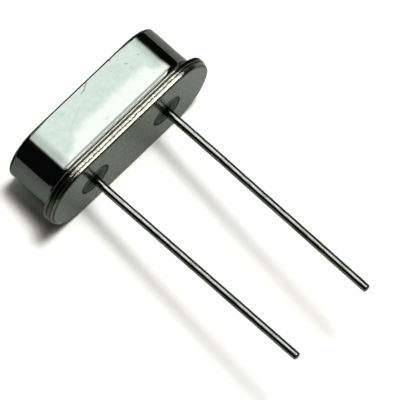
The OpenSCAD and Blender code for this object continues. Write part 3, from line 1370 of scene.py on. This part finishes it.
@dataclass
class GlassSeal:
    """A ring of glass fused between the header's hole and the lead, hollow on both faces.

    The lower face is drawn shallower than the upper one, as the glass has flowed there:
    face_dip is how deep it is at its middle.
    """

    side: Side
    sizes: CanSizes = LYING.sizes
    parts: int = 32
    face_dip: float = 0.014

    def section(self) -> Section:
        """Draws the ring's section: down outside, in along the lower hollow, up, and out.

        A hollow is an arc over the ring's width w: its radius is (w squared over 4 plus the
        dip squared) over twice the dip, and half its angle is the arc sine of w/2 over it.

        Returns:
            The section.
        """
        s = self.sizes
        inner, outer = s.lead_d / 2 - s.tin_t, s.seal_d / 2
        half = (outer - inner) / 2
        radii = [(half * half + dip * dip) / (2 * dip) for dip in (self.face_dip, s.seal_dip)]
        low, high = (math.degrees(math.asin(half / radius)) for radius in radii)
        below = (inner + half, self.face_dip - radii[0])
        above = (inner + half, s.platform_top - (s.seal_dip - radii[1]))
        sec = Section([(outer, s.platform_top)]).line(outer, 0.0, 6)
        sec.arc(below, radii[0], 90 - low, 90 + low, 20)
        sec.line(inner, s.platform_top, 6)
        return sec.arc(above, radii[1], 270 - high, 270 + high, 12)

    def build(self, material: bpy.types.Material) -> bpy.types.Object:
        """Makes the seal's mesh and dresses it.

        Args:
            material: The glass.

        Returns:
            The object.
        """
        circle = lead_circle(self.sizes, self.side, self.sizes.seal_d / 2, self.parts)
        shell = Shell(f"glass_ring_{self.side.name.lower()}")
        shell.add(Wrap(self.section(), circle).sweep(), closed=True)
        made = shell.make(material)
        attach(made, "root")
        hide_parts(f"glass_seal_{self.side.name.lower()}")
        return made


@dataclass
class Lead:
    """A round wire lead, tinned outside the glass, with a flattened head in the can.

    A lean is its sideways shift for each millimetre of depth. The left one steps back by
    left_kink over that depth first. The right one is straight down to right_straight, and
    its lean sets in over right_over more.
    """

    side: Side
    sizes: CanSizes = LYING.sizes
    parts: int = 24
    head_edge_r: float = 0.03
    tip_r: float = 0.1
    tin_start: float = -0.004
    left_lean: float = 0.0053
    left_kink: Span = (0.032, 1.2)
    right_lean: float = 0.0068
    right_straight: float = 3.0
    right_over: float = 2.0
    runs_mm: float = 0.0008
    runs_in: float = 2.6  # in heights of a run, so that the wire stays inside its full size
    runs_foot: Span = (0.05, 0.4)  # where they set in below the board face
    runs_tip: Span = (0.15, 0.02)  # where they fade out above the tip

    def bow(self, depth: np.ndarray) -> np.ndarray:
        """Works out how far the free wire has been pushed sideways, as wires are in handling.

        Args:
            depth: Depth below the board face in millimetres.

        Returns:
            The shift along X in millimetres.
        """
        if self.side is Side.LEFT:
            step, over = self.left_kink
            return self.left_lean * np.maximum(depth, 0) - step * ramp(depth, 0.0, over)
        below = depth - self.right_straight
        return -self.right_lean * np.maximum(below, 0) * ramp(below, 0.0, self.right_over)

    def section(self) -> Section:
        """Draws the lead's section, from the head's top down to the rounded tip.

        Returns:
            The section.
        """
        s = self.sizes
        wire, core, edge = s.lead_d / 2, s.lead_d / 2 - s.tin_t, self.head_edge_r
        head = s.platform_top + s.head_gap
        sec = Section([(s.head_d / 2 - edge, head + s.head_t)])
        sec.arc((s.head_d / 2 - edge, head + s.head_t - edge), edge, 90, 0, 3)
        sec.line(s.head_d / 2, head)
        sec.line(core, head)
        sec.line(core, 0.0, 4)
        sec.line(wire, self.tin_start)
        sec.line(wire, self.tip_r - s.lead_l, 160)
        return sec.arc((wire - self.tip_r, self.tip_r - s.lead_l), self.tip_r, 0, -90, 8)

    def relief(self, at: Wrap) -> np.ndarray:
        """Raises slight runs of tin along the free length, always inwards of the full size.

        Args:
            at: The lead's section on its circle.

        Returns:
            The lift in millimetres.
        """
        tip = (self.sizes.lead_l - v for v in self.runs_tip)
        free = plateau(-at.height, *self.runs_foot, *tip)
        return (at.noise((1.3, 1.5), 21 + self.side.value) - self.runs_in) * self.runs_mm * free

    def build(self, material: bpy.types.Material) -> bpy.types.Object:
        """Makes the lead's mesh and dresses it.

        Args:
            material: The tinned wire.

        Returns:
            The object.
        """
        circle = lead_circle(self.sizes, self.side, self.sizes.lead_d / 2, self.parts)
        at = Wrap(self.section(), circle)
        shell = Shell(f"wire_lead_{self.side.name.lower()}")
        at.sweep(self.relief(at)).points[..., 0] += self.bow(-at.points[..., 2])
        number = shell.add(at)
        shell.add_cap([number[0]], up=True)
        shell.add_cap([number[-1]], up=False)
        made = shell.make(material)
        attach(made, "root")
        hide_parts(f"lead_{self.side.name.lower()}")
        return made


class Inside:
    """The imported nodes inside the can: clips, blank, silver films and adhesive."""

    def finishes(self) -> dict[str, InsideFinish]:
        """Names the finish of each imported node.

        Returns:
            The finish for each node's name.
        """
        rolled = Pattern(14.0, 3.0, 0.6, (0.15, 1.0, 1.0))  # 0.07 mm lines along the strip
        lapped = Pattern(22.0, 3.0, 0.6)  # 0.045 mm
        film = Pattern(18.0, 3.0, 0.6)
        flakes = Pattern(26.0, 3.0, 0.6)  # silver flakes of 0.04 mm
        glassy = (("IOR", 1.544), ("Transmission Weight", 0.85))
        strip = InsideFinish(
            "rolled_spring_strip", "#CDBE96", "#B8A77C", 1.0, (0.22, 0.34), rolled, 0.0005
        )
        quartz = InsideFinish(
            "lapped_quartz", "#E4ECEF", "#D6E1E6", 0.0, (0.28, 0.42), lapped, 0.001, glassy
        )
        silver = InsideFinish(
            "evaporated_silver", "#EDEBE4", "#DDD9CE", 1.0, (0.12, 0.22), film, 0.0003
        )
        epoxy = InsideFinish(
            "silver_filled_epoxy", "#A9A7A0", "#8C8A84", 0.35, (0.45, 0.6), flakes, 0.004
        )
        table = {"quartz_blank": quartz, "upper_electrode": silver, "lower_electrode": silver}
        for side in Side:
            table[f"spring_clip_{side.name.lower()}"] = strip
            table[f"adhesive_{side.name.lower()}"] = epoxy
        return table

    def dress(self) -> None:
        """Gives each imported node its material, once for each finish."""
        made: dict[str, bpy.types.Material] = {}
        for node, finish in self.finishes().items():
            if finish.name not in made:
                made[finish.name] = finish.make()
            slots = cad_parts[node].data.materials
            slots.clear()
            slots.append(made[finish.name])
            LOG.info("%s: %s", node, finish.name)


# ---------------------------------------------------------------- the studio


@dataclass(frozen=True)
class Camera:
    """A long lens, looking steeply down at the crystal."""

    aim_mm: Triple = (0.4374, 0.5134, 2.4)
    distance_mm: float = 399.6957
    azimuth: float = -71.3877
    elevation: float = 71.9663
    roll: float = 26.6135
    lens: float = 760.85
    sensor: float = 36.0
    clip: Span = (0.01, 3.0)

    def make(self) -> bpy.types.Object:
        """Makes the scene's camera.

        Returns:
            The camera.
        """
        a, e, roll = (math.radians(v) for v in (self.azimuth, self.elevation, self.roll))
        back = Vector((math.sin(a) * math.cos(e), -math.cos(a) * math.cos(e), math.sin(e)))
        data = bpy.data.cameras.new("camera")
        data.lens, data.sensor_width, data.sensor_fit = self.lens, self.sensor, "AUTO"
        data.clip_start, data.clip_end = self.clip
        camera = put_in_scene("camera", data)
        camera.rotation_mode = "QUATERNION"
        rolled = Matrix.Rotation(roll, 3, "Z").to_quaternion()
        camera.rotation_quaternion = (-back).to_track_quat("-Z", "Y") @ rolled
        camera.location = (Vector(self.aim_mm) + back * self.distance_mm) * MM
        bpy.context.scene.camera = camera
        return camera


@dataclass(frozen=True)
class Zone:
    """A patch of the softbox at (q, p), the places right and back over the height.

    Attributes:
        level: Its brightness, where 1 shows as white.
        q: Where it starts, is full, fades and ends, from left to right.
        p: The same from front to back.
    """

    level: float
    q: tuple[Any, ...]
    p: tuple[Any, ...]

    def light(self, q: np.ndarray, p: np.ndarray) -> np.ndarray:
        """Its brightness: the level times a plateau in q and one in p."""
        return self.level * plateau(q, *self.q) * plateau(p, *self.p)


@dataclass(frozen=True)
class Studio:
    """A pale satin card to lie on, one graded overhead softbox, and a dark room.

    The softbox is described by its brightness at (q, p), so that a shape in it stays in the
    same direction from the crystal. Three of its zones are plain: one straight overhead, one
    far back for the rounded edges, and a dim one in front for the board face.
    """

    floor_colour: str = "#F4F4EE"
    floor_metallic: float = 0.5
    floor_roughness: float = 0.27
    floor_r: float = 0.5
    floor_parts: int = 96
    box_z: float = 0.6
    box_q: Span = (-0.4, 2.0)
    box_p: Span = (-0.85, 2.6)
    box_parts: tuple[int, int] = (160, 230)
    zones: tuple[Zone, ...] = (
        Zone(2.6, (-0.02, 0.1, 0.62, 0.85), (-0.3, -0.12, 0.38, 0.44)),
        Zone(1.75, (-0.3, -0.1, 0.8, 1.0), (0.9, 1.0, 2.3, 2.5)),
        Zone(0.28, (-0.3, 0.0, 0.7, 1.0), (-2.0, -1.0, -0.3, -0.15)),
    )
    upright: tuple[tuple[float, ...], tuple[float, ...]] = (
        (-0.44, -0.235, -0.045, 0.34, 0.83, 1.2, 1.76),
        (0.50, 0.483, 0.476, 0.49, 0.56, 0.63, 0.76),
    )
    side_level: Triple = (0.81, 0.36, -0.29)
    side_rise: Triple = (0.24, 0.2, 0.1)
    side_inner: Span = (-0.1, 0.34)
    side_outer: Span = (0.4, 0.83)
    side_step: float = 0.065
    side_most: Span = (-1.0, 1.3)
    side_dim: float = 0.6
    side_dim_up: Span = (0.13, 0.23)
    side_q: Four = (-0.42, -0.24, 0.8, 1.46)
    side_slant: Span = (-0.4, 2.5)  # of its left edge and of its right one
    side_slant_from: float = -0.4  # the left edge is upright below this
    side_p: Four = (0.38, 0.44, 0.9, 1.0)
    warm: Triple = (1.1, 1.0, 1.03)
    warm_up: Span = (0.0, 0.08)
    room: float = 0.003

    def side_zone(self, q: np.ndarray, p: np.ndarray, up: np.ndarray) -> np.ndarray:
        """Works out the zone that the broad side mirrors, whose left and right edges slant.

        Its level and its rise for each side_step over the curve are sums of a first value, a
        change towards the middle and one towards the right. It is dimmed well over the curve.

        Args:
            q: Place to the right over the height.
            p: Place to the back over the height.
            up: Place over the curve that the can's upright walls mirror.

        Returns:
            The brightness.
        """
        inner, outer = ramp(q, *self.side_inner), ramp(q, *self.side_outer)
        level, rise = (a + b * inner + c * outer for a, b, c in (self.side_level, self.side_rise))
        level = level + rise * np.clip(up / self.side_step, *self.side_most)
        start, full, fade, end = self.side_q
        start = start + self.side_slant[0] * np.maximum(up, self.side_slant_from)
        fade, end = (edge + self.side_slant[1] * up for edge in (fade, end))
        patch = Zone(level, (start, full, fade, end), self.side_p).light(q, p)
        return patch * (1 - self.side_dim * ramp(up, *self.side_dim_up))

    def glow(self, q: np.ndarray, p: np.ndarray) -> tuple[np.ndarray, np.ndarray]:
        """Adds up the brightness of the softbox's zones, and says how warm it is.

        Args:
            q: Place to the right over the height.
            p: Place to the back over the height.

        Returns:
            The brightness, where 1 shows as white, and the warmth from 0 to 1.
        """
        up = p - np.interp(q, *self.upright)
        plain = sum(zone.light(q, p) for zone in self.zones)
        return plain + self.side_zone(q, p, up), ramp(up, *self.warm_up)

    def make_floor(self) -> bpy.types.Object:
        """Makes the card, a flat disc.

        Returns:
            The floor.
        """
        angle = np.linspace(0, TAU, self.floor_parts, endpoint=False)
        rim = np.stack([np.cos(angle), np.sin(angle), angle * 0], -1) * self.floor_r
        mesh = bpy.data.meshes.new("floor_card")
        mesh.from_pydata(rim.tolist(), [], [tuple(range(self.floor_parts))])
        mesh.materials.append(self.card())
        floor = put_in_scene("floor_card", mesh)
        return floor

    def card(self) -> bpy.types.Material:
        """Makes a pale satin card, seen from above only, so that the underside can be looked at.

        Returns:
            The material.
        """
        f = Finish("satin_card")
        looks = {
            "Base Color": linear(self.floor_colour),
            "Metallic": self.floor_metallic,
            "Roughness": self.floor_roughness,
        }
        below = add_node(f.tree, "NewGeometry", ()).outputs["Backfacing"]
        mixed = f.add("MixShader", (below, f.add("BsdfPrincipled", looks), f.add("BsdfTransparent")))
        add_node(f.tree, "OutputMaterial", (mixed,))
        return f.material

    def cloth(self) -> bpy.types.Material:
        """Makes the softbox's lit cloth, which shows the glow at each point.

        Returns:
            The material.
        """
        f = Finish("softbox_cloth")
        light = f.add("Emission", (f.add("Attribute", output="Color", attribute_name="glow"), 1.0))
        add_node(f.tree, "OutputMaterial", (light,))
        return f.material

    def make_softbox(self) -> bpy.types.Object:
        """Makes the overhead softbox as a grid that carries its brightness at each point.

        Returns:
            The softbox's face.
        """
        q = np.linspace(*self.box_q, self.box_parts[0] + 1)
        p = np.linspace(*self.box_p, self.box_parts[1] + 1)
        flat_q, flat_p = (v.ravel() for v in np.meshgrid(q, p))
        points = np.stack([flat_q, flat_p, flat_q * 0 + 1], -1) * self.box_z
        number = np.arange(len(flat_q)).reshape(len(p), len(q))
        quads = [number[:-1, :-1], number[1:, :-1], number[1:, 1:], number[:-1, 1:]]
        faces = np.stack(quads, -1).reshape(-1, 4)
        glow, warmth = self.glow(flat_q, flat_p)
        tint = 1 + warmth[:, None] * (np.array(self.warm) - 1)
        colour = np.concatenate([glow[:, None] * tint, np.ones((len(glow), 1))], 1)
        lit = glow[faces].max(1) > 0
        mesh = bpy.data.meshes.new("overhead_softbox")
        mesh.from_pydata(points.tolist(), [], faces[lit].tolist())
        layer = mesh.attributes.new("glow", "FLOAT_COLOR", "POINT")
        layer.data.foreach_set("color", colour.astype(np.float32).ravel())
        mesh.materials.append(self.cloth())
        box = put_in_scene("overhead_softbox", mesh)
        return box

    def make(self) -> None:
        """Sets up the room, the floor, the softbox and the camera."""
        scene = bpy.context.scene
        scene.view_settings.view_transform = "Standard"
        scene.world = bpy.data.worlds.new("dark_room")
        scene.world.use_nodes = True
        tree = scene.world.node_tree
        tree.nodes.clear()
        sky = add_node(tree, "Background", {"Color": (1, 1, 1, 1), "Strength": self.room})
        add_node(tree, "OutputWorld", (sky.outputs[0],))
        self.make_floor()
        self.make_softbox()
        Camera().make()


def main() -> None:
    """Builds and dresses every piece in order, then the studio."""
    logging.basicConfig(level=logging.INFO, format="%(name)s: %(message)s")
    glass, wire = SealingGlass().make(), TinnedWire().make()
    made = [CanCover().build(), HeaderBase().build()]
    for side in Side:
        made += [GlassSeal(side).build(glass), Lead(side).build(wire)]
    for piece in made:
        LOG.info("%s: %d faces", piece.name, len(piece.data.polygons))
    Inside().dress()
    Studio().make()


if __name__ == "__main__":
    main()
